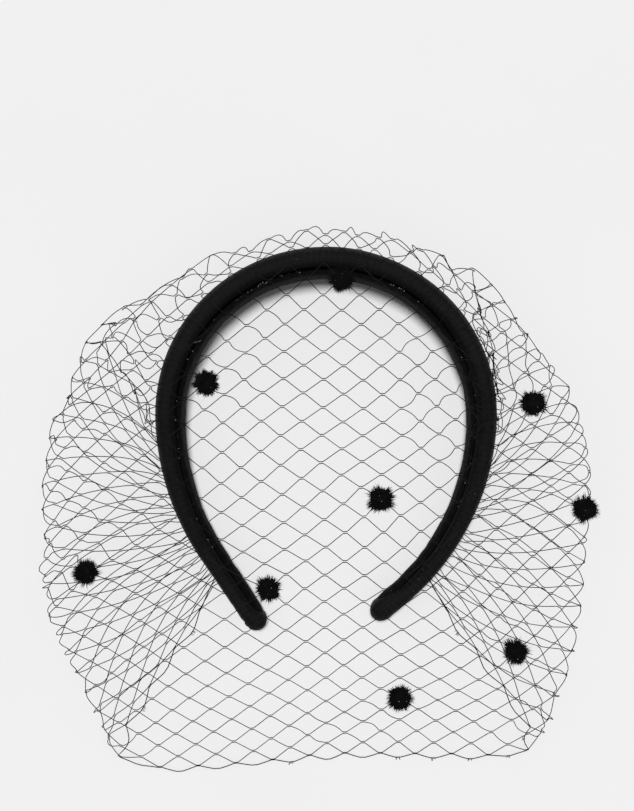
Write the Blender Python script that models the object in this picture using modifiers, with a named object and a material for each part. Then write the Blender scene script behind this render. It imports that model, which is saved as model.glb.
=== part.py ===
# Veil headband, lying on the rear edge of its padded band with the net veil spread over it.
# Metres. +Z up, +Y towards the crown of the band, +X to the right seen from above.
# The origin is under the middle of the whole part, on the surface that it lies on.

import bisect
import math
import random

import bmesh
import bpy
from mathutils import Matrix, Vector
from mathutils.geometry import intersect_point_line

# Band. The core line runs between the padding and the lining, from the crown down each arm.
CROWN_RADIUS = 0.0643
ARM_LENGTH = 0.100
ARM_BEND_RADIUS = {"left": 0.106, "right": 0.099}
ARM_SWEEP = {"left": math.radians(33), "right": math.radians(48)}
BAND_WIDTH_CROWN = 0.030
BAND_WIDTH_TIP = 0.015
COVER_THICKNESS_CROWN = 0.0106
COVER_THICKNESS_TIP = 0.0074
LINING_THICKNESS = 0.0026
LINING_INSET = 0.0018
TIP_ROUNDING = 0.0060
TIP_STATION_SHARES = (0.5, 0.82, 0.96)
TAPER_START = 0.25
STATION_SPACING = 0.009
CLEARANCE = 0.0003
SHARP_ANGLE = math.radians(50)

# Rings round the band: how round the outer, inner and lining corners are (1 is an ellipse).
COVER_SIDES = 12
LINING_SIDES = 8
OUTER_ROUNDNESS = 0.85
INNER_ROUNDNESS = 0.45
LINING_ROUNDNESS = 0.50

# Veil. Its top edge and both short ends are gathered onto the band, and the hem is free.
BAR = 0.0012
VEIL_OVERHANG = 0.0080
VEIL_FALL = 0.234
VEIL_LIFT = 0.038
VEIL_REACH = {"left": 0.127, "right": 0.120}
TOP_EDGE_RUN = {"left": 0.1075, "right": 0.0975}
GATHER_RUN = {"left": 0.066, "right": 0.078}
SEAM_SHARE = 0.30
SEAM_CLEARANCE = 0.00045
SHOULDER_MARGIN = 0.0020
SHOULDER_DROP = 0.036
FLOOR_LIFT = 0.75 * BAR
RUFFLE_HEIGHT = 0.0022
RUFFLES = 4.5
COURSE_STEPS = 32
SEAM_STEPS = 40
UNDER_STEPS = 20
MIDDLE_FLATNESS = 0.35       # 1 is a straight fall from the middle to a side fold, 0 a flat top
LEAST_FACING = 0.5           # how far a course may slant over the padding, as a cosine
TURN_DOWN_SPAN = 0.10
TURN_UP_SPAN = 0.35
TURN_UP_BAND_SHARE = 0.55
GAPS_ACROSS = 6
GAPS_DOWN = 9
BEND_PER_SEGMENT = math.radians(32)
SEGMENTS_OVER_PADDING = 5
FINE_STEPS = 12              # trial steps along a bar, before the straight ones are left out
SHARPEST_CORNER = 0.4        # cosine that limits how far two edges of a gap are mitred
NORMAL_STEP = 0.006

# Each row is one course of the net, from the seam to the hem. drop is its share of the net's
# width, level, the fold levels and the bows are shares of VEIL_FALL, the reaches are shares
# of VEIL_REACH, the heights are shares of VEIL_LIFT, and a corner of 2 is an ellipse.
COURSE_COLUMNS = (
    "drop", "level", "height", "left_reach", "left_level", "left_corner", "left_bow",
    "right_reach", "right_level", "right_corner", "right_bow", "fold_height", "under_height",
)
COURSES = (
    (0.07, 0.000, 0.80, 0.650, 0.355, 2.0, 0.000, 0.690, 0.340, 2.0, 0.000, 0.58, 0.55),
    (0.13, 0.062, 0.95, 0.750, 0.375, 4.2, 0.000, 0.780, 0.355, 2.3, 0.000, 0.30, 0.25),
    (0.20, 0.137, 1.00, 0.910, 0.366, 3.0, 0.000, 0.895, 0.355, 2.2, 0.000, 0.26, 0.12),
    (0.35, 0.300, 0.97, 0.960, 0.443, 2.3, 0.000, 0.960, 0.443, 2.0, 0.000, 0.27, 0.08),
    (0.50, 0.462, 0.93, 1.000, 0.542, 2.0, 0.000, 1.000, 0.522, 2.0, 0.000, 0.27, 0.06),
    (0.65, 0.626, 0.84, 0.965, 0.687, 2.0, 0.000, 0.960, 0.650, 2.0, 0.000, 0.25, 0.06),
    (0.80, 0.790, 0.58, 0.900, 0.815, 2.0, 0.010, 0.915, 0.782, 2.0, 0.006, 0.22, 0.05),
    (0.90, 0.900, 0.28, 0.815, 0.905, 2.0, 0.020, 0.850, 0.872, 2.0, 0.010, 0.16, 0.04),
    (1.00, 0.995, 0.024, 0.730, 0.990, 2.0, 0.032, 0.770, 0.975, 2.0, 0.014, 0.07, 0.024),
)

# Chenille dots, each tied on at a place on the net: across from -1 to 1, and down from 0 to 1.
DOT_HEAD_RADIUS = 0.0042
DOT_TUFT_RADIUS = 0.0056
DOT_TUFT_EVERY = 4
DOT_TUFT_TAPER = 0.45
DOT_TUFT_SHORTEST = 0.88
DOT_SEED = 5
DOTS = (
    (0.035, 0.165),
    (-0.25, 0.33),
    (0.48, 0.32),
    (0.12, 0.53),
    (0.585, 0.52),
    (-0.50, 0.63),
    (-0.12, 0.68),
    (0.43, 0.79),
    (0.17, 0.87),
)
DOT_PULL_RADIUS = 0.16
NET_SPREAD = 1.4             # half the net's width as shares of VEIL_REACH
PASSAGE_CLEARANCE = 0.0005
PASSAGE_GROWTH = 0.01        # each rod through a dot is a little wider and turned further
PASSAGE_TURN = 0.4
WELD = 0.0000005

SIDES = {"left": -1, "right": 1}
FINISHES = {
    "padded_cover": ((0.012, 0.012, 0.014, 1), 0.78),
    "lining_strip": ((0.016, 0.016, 0.019, 1), 0.62),
    "veil_net": ((0.010, 0.009, 0.010, 1), 0.55),
    "chenille": ((0.006, 0.006, 0.007, 1), 0.90),
}


def clear_scene():
    for old in list(bpy.data.objects):
        bpy.data.objects.remove(old, do_unlink=True)


def collection(name):
    made = bpy.data.collections.new(name)
    bpy.context.scene.collection.children.link(made)
    return made


def material(name):
    colour, roughness = FINISHES[name]
    made = bpy.data.materials.new(name)
    made.use_nodes = True
    shader = made.node_tree.nodes["Principled BSDF"]
    shader.inputs["Base Color"].default_value = colour
    shader.inputs["Roughness"].default_value = roughness
    shader.inputs["Metallic"].default_value = 0.0
    made.diffuse_color = colour
    return made


def smooth(share):
    share = min(max(share, 0.0), 1.0)
    return share * share * (3 - 2 * share)


def signed_power(value, power):
    return math.copysign(abs(value) ** power, value)


# Core line


def half_length():
    return CROWN_RADIUS * math.pi / 2 + ARM_LENGTH


def core_line(side, run):
    """Point and outward direction of the core line, this far from the crown down one side."""
    quarter = CROWN_RADIUS * math.pi / 2
    turn = min(run, quarter) / CROWN_RADIUS
    x = CROWN_RADIUS * math.sin(turn)
    y = CROWN_RADIUS * math.cos(turn)
    if run > quarter:
        bend = ARM_BEND_RADIUS[side]
        swept = min((run - quarter) / bend, ARM_SWEEP[side])
        straight = run - quarter - bend * swept
        x -= bend * (1 - math.cos(swept)) + straight * math.sin(swept)
        y -= bend * math.sin(swept) + straight * math.cos(swept)
        turn += swept
    sign = SIDES[side]
    return Vector((sign * x, y, 0)), Vector((sign * math.sin(turn), math.cos(turn), 0))


def tapered(at_crown, at_tip, run):
    share = smooth((run / half_length() - TAPER_START) / (1 - TAPER_START))
    return at_crown + (at_tip - at_crown) * share


def band_width(run):
    return tapered(BAND_WIDTH_CROWN, BAND_WIDTH_TIP, run)


def cover_thickness(run):
    return tapered(COVER_THICKNESS_CROWN, COVER_THICKNESS_TIP, run)


def nose(run):
    """Share of the full section left at this place, which rounds off the tip of an arm."""
    into = (run - (half_length() - TIP_ROUNDING)) / TIP_ROUNDING
    return math.sqrt(max(1 - into * into, 0.0)) if into > 0 else 1.0


def stations():
    """Places along the band as (side, run), from the left tip over the crown to the right tip."""
    straight = half_length() - TIP_ROUNDING
    count = math.ceil(straight / STATION_SPACING)
    runs = [straight * i / count for i in range(count + 1)]
    runs += [straight + TIP_ROUNDING * share for share in TIP_STATION_SHARES]
    left = [("left", run) for run in reversed(runs[1:])]
    return left + [("right", run) for run in runs]


# Band pieces


def ring(sides, outer_roundness, inner_roundness):
    """A rounded section, as shares of its thickness and width, with a flat facet on each side."""
    step = 2 * math.pi / sides
    points = []
    for i in range(sides):
        across, up = math.cos((i + 0.5) * step), math.sin((i + 0.5) * step)
        roundness = outer_roundness if across > 0 else inner_roundness
        most = math.cos(step / 2) ** roundness
        points.append((
            0.5 + 0.5 * signed_power(across, roundness) / most,
            0.5 + 0.5 * signed_power(up, roundness) / most,
        ))
    return points


def loft(name, section, slot):
    """Closed body through one section at each station.

    section gives (inner, thickness, low, width, points) for a run, with points as ring gives them.
    """
    body = bmesh.new()
    loops = []
    for side, run in stations():
        point, outward = core_line(side, run)
        inner, thickness, low, width, points = section(run)
        shrink = nose(run)
        loop = []
        for across, up in points:
            out = inner + thickness * (0.5 + (across - 0.5) * shrink)
            height = low + width * (0.5 + (up - 0.5) * shrink)
            loop.append(body.verts.new(point + outward * out + Vector((0, 0, height))))
        loops.append(loop)
    for loop, following in zip(loops, loops[1:]):
        for i in range(len(loop)):
            j = (i + 1) % len(loop)
            body.faces.new((loop[i], loop[j], following[j], following[i]))
    body.faces.new(loops[0][::-1])
    body.faces.new(loops[-1])
    bmesh.ops.recalc_face_normals(body, faces=body.faces)
    return finish(name, body, slot)


def cover_section(run):
    points = ring(COVER_SIDES, OUTER_ROUNDNESS, INNER_ROUNDNESS)
    return CLEARANCE / 2, cover_thickness(run), 0.0, band_width(run), points


def lining_section(run):
    points = ring(LINING_SIDES, LINING_ROUNDNESS, LINING_ROUNDNESS)
    inner = -CLEARANCE / 2 - LINING_THICKNESS
    width = band_width(run) - 2 * LINING_INSET
    return inner, LINING_THICKNESS, LINING_INSET, width, points


def finish(name, body, slot):
    mesh = bpy.data.meshes.new(name)
    body.to_mesh(mesh)
    body.free()
    mesh.shade_smooth()
    mesh.set_sharp_from_angle(angle=SHARP_ANGLE)
    made = bpy.data.objects.new(name, mesh)
    made.data.materials.append(slot)
    return made


# Veil surface


def seam_point(side, run):
    """Where the net is caught on the band: on top of the padding, just clear of it."""
    point, outward = core_line(side, run)
    height = band_width(run) + SEAM_CLEARANCE + BAR / 2
    return point + outward * cover_thickness(run) * SEAM_SHARE + Vector((0, 0, height))


def bezier(a, b, c, d, count):
    for i in range(1, count + 1):
        t = i / count
        s = 1 - t
        yield a * s ** 3 + b * 3 * s * s * t + c * 3 * s * t * t + d * t ** 3


def course_path(course, side):
    """Points of half a course, from the middle of the net, round its side fold, to the band."""
    row = dict(zip(COURSE_COLUMNS, course))
    top = CROWN_RADIUS + COVER_THICKNESS_CROWN + VEIL_OVERHANG
    reach = VEIL_REACH[side] * row[side + "_reach"]
    fold_y = top - VEIL_FALL * row[side + "_level"]
    rise = top - VEIL_FALL * row["level"] - fold_y
    fold_z = max(VEIL_LIFT * row["fold_height"], FLOOR_LIFT)
    middle_z = max(VEIL_LIFT * row["height"], FLOOR_LIFT)
    under_z = max(VEIL_LIFT * row["under_height"], FLOOR_LIFT)
    sign = SIDES[side]
    path = []
    for i in range(COURSE_STEPS + 1):
        angle = math.pi / 2 * (1 - i / COURSE_STEPS)
        across = math.cos(angle) ** (2 / row[side + "_corner"])
        up = math.sin(angle) ** (2 / row[side + "_corner"])
        bow = VEIL_FALL * row[side + "_bow"] * math.sin(2 * angle)
        path.append(Vector((
            sign * reach * across,
            fold_y + rise * up - bow,
            fold_z + (middle_z - fold_z) * (1 - across * across) ** MIDDLE_FLATNESS,
        )))
    run = TOP_EDGE_RUN[side] + GATHER_RUN[side] * row["drop"]
    seam = seam_point(side, run)
    fold = path[-1]
    heading = (fold - seam) * Vector((1, 1, 0))
    outward = core_line(side, run)[1]
    past = cover_thickness(run) * (1 - SEAM_SHARE) + SHOULDER_MARGIN
    past /= max(heading.normalized().dot(outward), LEAST_FACING)
    shoulder = seam + heading.normalized() * past
    span = (fold - shoulder) * Vector((1, 1, 0))
    turn_down = Vector((fold.x, fold.y, under_z)) - span * TURN_DOWN_SPAN
    turn_up = shoulder + span * TURN_UP_SPAN
    turn_up.z = under_z + (shoulder.z - under_z) * TURN_UP_BAND_SHARE
    ruffle = RUFFLE_HEIGHT * math.sin(2 * math.pi * RUFFLES * row["drop"])
    turn_up.z = max(turn_up.z + ruffle, FLOOR_LIFT)
    path += list(bezier(fold, turn_down, turn_up, shoulder, UNDER_STEPS))
    path.append(seam)
    return path


def seam_path(side):
    return [seam_point(side, TOP_EDGE_RUN[side] * i / SEAM_STEPS) for i in range(SEAM_STEPS + 1)]


def shoulder_path(side):
    """Half of the course that lies just past the outer edge of the padding."""
    path = []
    for i in range(SEAM_STEPS + 1):
        run = TOP_EDGE_RUN[side] * i / SEAM_STEPS
        past = cover_thickness(run) * (1 - SEAM_SHARE) + SHOULDER_MARGIN
        path.append(seam_point(side, run) + core_line(side, run)[1] * past)
    path.append(seam_point(side, TOP_EDGE_RUN[side] + GATHER_RUN[side] * SHOULDER_DROP))
    return path


class Path:
    """A line through points, read by share of its length."""

    def __init__(self, points):
        self.points = points
        self.reached = [0.0]
        for a, b in zip(points, points[1:]):
            self.reached.append(self.reached[-1] + (b - a).length)

    def at(self, share):
        wanted = self.reached[-1] * share
        i = min(bisect.bisect_right(self.reached, wanted), len(self.points) - 1)
        length = self.reached[i] - self.reached[i - 1]
        return self.points[i - 1].lerp(self.points[i], (wanted - self.reached[i - 1]) / length)


class Veil:
    """The net as a curved surface. across runs from -1 to 1, and down from 0 at the seam to 1."""

    def __init__(self):
        self.knots = [0.0, SHOULDER_DROP] + [course[0] for course in COURSES]
        self.paths = {}
        for side in SIDES:
            lines = [seam_path(side), shoulder_path(side)]
            lines += [course_path(course, side) for course in COURSES]
            self.paths[side] = [Path(line) for line in lines]

    def point(self, across, down):
        side = "right" if across > 0 else "left"
        points = [path.at(abs(across)) for path in self.paths[side]]
        knots = self.knots
        last = len(knots) - 1
        i = 0
        while i < last - 1 and down > knots[i + 1]:
            i += 1
        span = knots[i + 1] - knots[i]
        t = (down - knots[i]) / span
        start = self.slope(points, i) * span
        end = self.slope(points, i + 1) * span
        h = t * t * (3 - 2 * t)
        curve = points[i].lerp(points[i + 1], h)
        curve += start * (t * (1 - t) ** 2) - end * (t * t * (1 - t))
        curve.z = max(curve.z, FLOOR_LIFT)
        return curve

    def slope(self, points, i):
        before, after = max(i - 1, 0), min(i + 1, len(points) - 1)
        return (points[after] - points[before]) / (self.knots[after] - self.knots[before])


# Net


def flat_distance(a, b):
    return math.hypot((a[0] - b[0]) * VEIL_REACH["left"] * NET_SPREAD, (a[1] - b[1]) * VEIL_FALL)


def dot_ties():
    """For each dot, the nearest junction or middle of a bar of the evenly spaced net."""
    ties = []
    for i in range(4 * GAPS_ACROSS + 1):
        for j in range(4 * GAPS_DOWN + 1):
            if (i % 4, j % 4) in ((0, 0), (2, 2), (1, 1), (1, 3), (3, 1), (3, 3)):
                ties.append((i / (2 * GAPS_ACROSS) - 1, j / (4 * GAPS_DOWN)))
    return [(dot, min(ties, key=lambda tie: flat_distance(tie, dot))) for dot in DOTS]


def pulled(across, down, ties):
    """A place on the even net, drawn so that a junction or a bar passes through each dot."""
    edge = (1 - across * across) * down * (1 - down)
    shift_across = shift_down = 0.0
    for dot, tie in ties:
        apart = flat_distance((across, down), tie) / (VEIL_FALL * DOT_PULL_RADIUS)
        weight = math.exp(-apart * apart)
        weight *= min(edge / ((1 - tie[0] ** 2) * tie[1] * (1 - tie[1])), 1.0)
        shift_across += weight * (dot[0] - tie[0])
        shift_down += weight * (dot[1] - tie[1])
    return across + shift_across, down + shift_down


def facing(veil, ties, place):
    """Direction square to the net at this place, on the same side of it everywhere."""
    across, down = place
    step = NORMAL_STEP
    left = veil.point(*pulled(max(across - step, -1.0), down, ties))
    right = veil.point(*pulled(min(across + step, 1.0), down, ties))
    above = veil.point(*pulled(across, max(down - step, 0.0), ties))
    below = veil.point(*pulled(across, min(down + step, 1.0), ties))
    return (right - left).cross(below - above).normalized()


def bar_points(veil, ties, start, end):
    """Points of one bar of the net with their facings, close together only where it bends."""
    places = []
    for i in range(FINE_STEPS + 1):
        t = i / FINE_STEPS
        places.append([a + (b - a) * t for a, b in zip(start, end)])
    points = [veil.point(*pulled(*place, ties)) for place in places]
    steps = [b - a for a, b in zip(points, points[1:])]
    bend = sum(a.angle(b, 0.0) for a, b in zip(steps, steps[1:]))
    leaves_seam = (abs(start[0]) == 1.0) != (abs(end[0]) == 1.0)
    fewest = SEGMENTS_OVER_PADDING if leaves_seam else 1
    count = min(max(fewest, math.ceil(bend / BEND_PER_SEGMENT)), FINE_STEPS // 2)
    chosen = [round(i * FINE_STEPS / count) for i in range(count + 1)]
    return [(points[i], facing(veil, ties, places[i])) for i in chosen]


def inner_edge(before, corner, after, face):
    """Where the edges of two bars meet inside a gap, next to the corner of their middle lines."""
    first = face.cross(corner - before).normalized()
    second = face.cross(after - corner).normalized()
    inward = (first + second).normalized()
    return corner + inward * BAR / 2 / max(inward.dot(first), SHARPEST_CORNER)


def net_mesh(name, slot):
    """Open mesh with a flat bar round each gap of the net. A Solidify modifier thickens it."""
    veil = Veil()
    ties = dot_ties()
    body = bmesh.new()
    corners = {}
    bars = {}

    def place(i, j):
        return i / GAPS_ACROSS - 1, j / (2 * GAPS_DOWN)

    def bar(a, b):
        key = (min(a, b), max(a, b))
        if key not in bars:
            points = bar_points(veil, ties, place(*key[0]), place(*key[1]))
            made = [(body.verts.new(point), face) for point, face in points[1:-1]]
            for end, (point, face) in zip(key, (points[0], points[-1])):
                if end not in corners:
                    corners[end] = (body.verts.new(point), face)
            bars[key] = [corners[key[0]]] + made + [corners[key[1]]]
        return bars[key] if key[0] == a else bars[key][::-1]

    wide, deep = 2 * GAPS_ACROSS, 2 * GAPS_DOWN
    for i in range(wide + 1):
        for j in range(deep + 1):
            if (i + j) % 2 == 0:
                continue
            outline = [(i - 1, j), (i, j - 1), (i + 1, j), (i, j + 1)]
            outline = [(a, b) for a, b in outline if 0 <= a <= wide and 0 <= b <= deep]
            loop = []
            for a, b in zip(outline, outline[1:] + outline[:1]):
                loop += bar(a, b)[:-1]
            inner = []
            for k, (corner, face) in enumerate(loop):
                before, after = loop[k - 1][0], loop[(k + 1) % len(loop)][0]
                edge = inner_edge(before.co, corner.co, after.co, face)
                inner.append(body.verts.new(edge))
            for k in range(len(loop)):
                m = (k + 1) % len(loop)
                body.faces.new((loop[k][0], loop[m][0], inner[m], inner[k]))
    lines = [[corner.co.copy() for corner, face in points] for points in bars.values()]
    return finish(name, body, slot), veil, lines


def thicken(net):
    wall = net.modifiers.new("bars", "SOLIDIFY")
    wall.thickness = BAR
    wall.offset = 0.0
    wall.use_even_offset = True
    wall.use_quality_normals = True


# Chenille dots


def dot_body(name, centre, slot, chance):
    """A round head with tapered tufts drawn out of every few faces."""
    body = bmesh.new()
    bmesh.ops.create_icosphere(body, subdivisions=2, radius=DOT_HEAD_RADIUS)
    turn = Vector((chance.random(), chance.random(), chance.random())).normalized()
    bmesh.ops.rotate(
        body, verts=body.verts, cent=(0, 0, 0),
        matrix=turn.to_track_quat("Z", "Y").to_matrix(),
    )
    body.faces.ensure_lookup_table()
    tufts = list(body.faces)[::DOT_TUFT_EVERY]
    lifted = bmesh.ops.extrude_discrete_faces(body, faces=tufts)["faces"]
    for tip in lifted:
        middle = tip.calc_center_median()
        length = DOT_TUFT_RADIUS * chance.uniform(DOT_TUFT_SHORTEST, 1.0)
        out = middle.normalized() * length
        for corner in tip.verts:
            corner.co = out + (corner.co - middle) * DOT_TUFT_TAPER
    bmesh.ops.translate(body, verts=body.verts, vec=centre)
    return finish(name, body, slot)


def passage(name, start, end, number):
    """A rod a little longer and wider than one straight stretch of a bar."""
    axis = end - start
    body = bmesh.new()
    radius = (BAR * math.sqrt(0.5) + PASSAGE_CLEARANCE) * (1 + PASSAGE_GROWTH * number)
    bmesh.ops.create_cone(
        body, cap_ends=True, segments=5, radius1=radius, radius2=radius,
        depth=axis.length + 2 * CLEARANCE,
    )
    turn = axis.to_track_quat("Z", "Y").to_matrix()
    turn @= Matrix.Rotation(PASSAGE_TURN * number, 3, "Z")
    bmesh.ops.rotate(body, verts=body.verts, cent=(0, 0, 0), matrix=turn)
    bmesh.ops.translate(body, verts=body.verts, vec=(start + end) / 2)
    mesh = bpy.data.meshes.new(name)
    body.to_mesh(mesh)
    body.free()
    rod = bpy.data.objects.new(name, mesh)
    rod.hide_render = True
    rod.display_type = "WIRE"
    return rod


def let_net_through(dot, centre, lines, cutters):
    """Cuts a dot where bars pass through it, and keeps the largest body of what is left."""
    reach = DOT_TUFT_RADIUS + BAR
    rods = []
    for line in lines:
        for start, end in zip(line, line[1:]):
            nearest, share = intersect_point_line(centre, start, end)
            nearest = start.lerp(end, min(max(share, 0.0), 1.0))
            if (nearest - centre).length < reach:
                rods.append(passage(f"{dot.name}_bar_{len(rods) + 1}", start, end, len(rods)))
    for rod in rods:
        cutters.objects.link(rod)
        cut = dot.modifiers.new(rod.name, "BOOLEAN")
        cut.operation = "DIFFERENCE"
        cut.solver = "EXACT"
        cut.object = rod
    graph = bpy.context.evaluated_depsgraph_get()
    mesh = bpy.data.meshes.new_from_object(dot.evaluated_get(graph), depsgraph=graph)
    dot.modifiers.clear()
    body = bmesh.new()
    body.from_mesh(mesh)
    bpy.data.meshes.remove(mesh)
    bmesh.ops.remove_doubles(body, verts=body.verts, dist=WELD)
    largest = max(islands(body), key=len)
    loose = [corner for corner in body.verts if corner not in largest]
    bmesh.ops.delete(body, geom=loose, context="VERTS")
    body.to_mesh(dot.data)
    body.free()


def islands(body):
    waiting = set(body.verts)
    while waiting:
        found = {waiting.pop()}
        edge = set(found)
        while edge:
            edge = {link.other_vert(corner) for corner in edge for link in corner.link_edges}
            edge -= found
            found |= edge
        waiting -= found
        yield found


def main():
    clear_scene()
    parts = collection("veil_headband")
    cutters = collection("cutters")
    slots = {name: material(name) for name in FINISHES}
    chance = random.Random(DOT_SEED)

    cutters.hide_render = True
    net, veil, lines = net_mesh("veil", slots["veil_net"])
    thicken(net)

    cover = loft("padded_cover", cover_section, slots["padded_cover"])
    lining = loft("lining_strip", lining_section, slots["lining_strip"])
    pieces = [cover, lining, net]
    for piece in pieces:
        parts.objects.link(piece)
    for number, dot in enumerate(DOTS, 1):
        centre = veil.point(*dot)
        body = dot_body(f"chenille_dot_{number}", centre, slots["chenille"], chance)
        parts.objects.link(body)
        let_net_through(body, centre, lines, cutters)
        pieces.append(body)

    corners = [corner for piece in pieces for corner in (v.co for v in piece.data.vertices)]
    low = Vector([min(corner[axis] for corner in corners) for axis in range(3)])
    high = Vector([max(corner[axis] for corner in corners) for axis in range(3)])
    middle = (low + high) / 2
    origin = bpy.data.objects.new("middle_of_part", None)
    origin.location = (-middle.x, -middle.y, 0)
    parts.objects.link(origin)
    for piece in pieces + list(cutters.objects):
        piece.parent = origin


main()
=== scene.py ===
# Veil headband on a pale table, seen from straight above: the looks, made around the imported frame.
# Metres, +Z up. The crown of the band points to +Y and the hem of the veil to -Y.

import bisect
import math
import random

import bmesh
import bpy
import numpy as np
from mathutils import Matrix, Vector, noise


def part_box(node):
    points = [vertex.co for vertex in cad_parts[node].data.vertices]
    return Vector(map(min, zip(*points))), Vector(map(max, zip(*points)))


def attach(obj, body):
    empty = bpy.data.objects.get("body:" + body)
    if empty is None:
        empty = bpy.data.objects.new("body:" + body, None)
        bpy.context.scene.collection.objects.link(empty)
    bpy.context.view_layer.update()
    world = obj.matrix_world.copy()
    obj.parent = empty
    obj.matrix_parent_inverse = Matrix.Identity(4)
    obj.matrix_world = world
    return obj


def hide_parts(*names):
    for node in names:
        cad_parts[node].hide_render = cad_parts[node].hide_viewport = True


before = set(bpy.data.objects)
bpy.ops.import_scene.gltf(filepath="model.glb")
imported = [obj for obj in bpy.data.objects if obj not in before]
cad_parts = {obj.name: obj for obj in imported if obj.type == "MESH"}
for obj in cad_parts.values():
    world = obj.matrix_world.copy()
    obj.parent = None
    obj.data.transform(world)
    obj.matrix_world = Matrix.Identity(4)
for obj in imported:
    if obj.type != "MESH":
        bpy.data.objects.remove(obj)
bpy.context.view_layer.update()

bpy.ops.object.select_all(action="DESELECT")
print("frame loaded:", ", ".join(sorted(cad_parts)))

mm = 0.001


# Shader helpers

def addObject(name, data):
    made = bpy.data.objects.new(name, data)
    bpy.context.scene.collection.objects.link(made)
    return made


def newMaterial(name, sockets):
    made = bpy.data.materials.new(name)
    made.use_nodes = True
    shader = made.node_tree.nodes["Principled BSDF"]
    for socket, value in sockets.items():
        shader.inputs[socket].default_value = value
    return made, made.node_tree, shader


def addNode(tree, kind, **settings):
    node = tree.nodes.new(kind)
    for key, value in settings.items():
        if key in node.inputs:
            node.inputs[key].default_value = value
        else:
            setattr(node, key, value)
    return node


def surfacePlace(tree, source, scale):
    coords = addNode(tree, "ShaderNodeTexCoord")
    mapping = addNode(tree, "ShaderNodeMapping")
    mapping.inputs["Scale"].default_value = scale
    tree.links.new(coords.outputs[source], mapping.inputs["Vector"])
    return mapping.outputs["Vector"]


def colourSteps(tree, value, stops):
    ramp = addNode(tree, "ShaderNodeValToRGB")
    band = ramp.color_ramp
    band.elements[0].position, band.elements[0].color = stops[0]
    band.elements[1].position, band.elements[1].color = stops[-1]
    for place, colour in stops[1:-1]:
        band.elements.new(place).color = colour
    tree.links.new(value, ramp.inputs["Fac"])
    return ramp.outputs["Color"]


def mathOf(tree, operation, *values):
    node = addNode(tree, "ShaderNodeMath", operation=operation)
    for socket, value in zip(node.inputs, values):
        if isinstance(value, (int, float)):
            socket.default_value = value
        else:
            tree.links.new(value, socket)
    return node.outputs["Value"]


def mixColours(tree, share, first, second, way="MIX"):
    node = addNode(tree, "ShaderNodeMix", data_type="RGBA", blend_type=way)
    colours = [socket for socket in node.inputs if socket.type == "RGBA"]
    for socket, value in zip([node.inputs[0]] + colours, (share, first, second)):
        if hasattr(value, "is_output"):
            tree.links.new(value, socket)
        else:
            socket.default_value = value
    return next(socket for socket in node.outputs if socket.type == "RGBA")


def addBump(tree, shader, height, strength, distance, under=None):
    bump = addNode(tree, "ShaderNodeBump", Strength=strength, Distance=distance)
    tree.links.new(height, bump.inputs["Height"])
    if under is not None:
        tree.links.new(under, bump.inputs["Normal"])
    tree.links.new(bump.outputs["Normal"], shader.inputs["Normal"])
    return bump.outputs["Normal"]


def noiseColour(tree, shader, scale, detail, dark, light):
    # Colours a piece by fine noise, from dark to light, each a noise level and a colour.
    grain = addNode(tree, "ShaderNodeTexNoise", Scale=scale, Detail=detail)
    tree.links.new(surfacePlace(tree, "Object", (1, 1, 1)), grain.inputs["Vector"])
    tree.links.new(colourSteps(tree, grain.outputs["Fac"], [dark, light]), shader.inputs["Base Color"])
    return grain.outputs["Fac"]


# Camera: straight above, with the photograph's framing of 634 by 811 pixels.

camera = {
    "height": 0.720,
    "middle": (-0.422 * mm, 44.535 * mm),
    "viewWidth": 0.27566,        # what the picture's width takes in at viewDistance
    "viewDistance": 0.705,
    "sensorWidth": 36.0,
    "clipStart": 0.01,
}


def placeCamera():
    bpy.ops.object.camera_add(location=(*camera["middle"], camera["height"]), rotation=(0, 0, 0))
    lens = bpy.context.object.data
    lens.sensor_fit = "HORIZONTAL"
    lens.sensor_width = camera["sensorWidth"]
    lens.lens = camera["sensorWidth"] * camera["viewDistance"] / camera["viewWidth"]
    lens.clip_start = camera["clipStart"]
    bpy.context.scene.camera = bpy.context.object
    print("camera placed")


placeCamera()


# Table and light

studio = {
    "tableSize": 6.0,
    "tableColour": (0.86, 0.86, 0.86, 1),
    "tableShade": 0.985,         # its darker patches, as a share of it
    "skyStrength": 0.20,
    "keyStrength": 2.64,
    "keyPlace": (0, 0.3, 1),
    "keyTilt": (math.radians(-8.5), math.radians(-2)),   # towards the crown and a little to the left
    "keyAngle": math.radians(12),
}


def makeTable():
    bpy.ops.mesh.primitive_plane_add(size=studio["tableSize"], location=(0, 0, 0))
    table = bpy.context.object
    table.name = "table"
    material, tree, shader = newMaterial("tablePaint", {"Roughness": 0.85, "Specular IOR Level": 0.1})
    pale = studio["tableColour"]
    shade = tuple(part * studio["tableShade"] for part in pale[:3]) + (1,)
    noiseColour(tree, shader, 9.0, 4.0, (0.3, shade), (0.7, pale))
    table.data.materials.append(material)


def lightTheTable():
    world = bpy.data.worlds.new("whiteRoom")
    world.use_nodes = True
    sky = world.node_tree.nodes["Background"]
    sky.inputs["Color"].default_value = (1.0, 1.0, 1.0, 1)
    sky.inputs["Strength"].default_value = studio["skyStrength"]
    bpy.context.scene.world = world
    bpy.ops.object.light_add(type="SUN", location=studio["keyPlace"], rotation=(*studio["keyTilt"], 0))
    key = bpy.context.object
    key.name = "softKey"
    key.data.energy = studio["keyStrength"]
    key.data.angle = studio["keyAngle"]
    bpy.context.scene.view_settings.view_transform = "Standard"
    print("table and light made")


makeTable()
lightTheTable()


# Band: the same core line and sections as the solids

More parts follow.
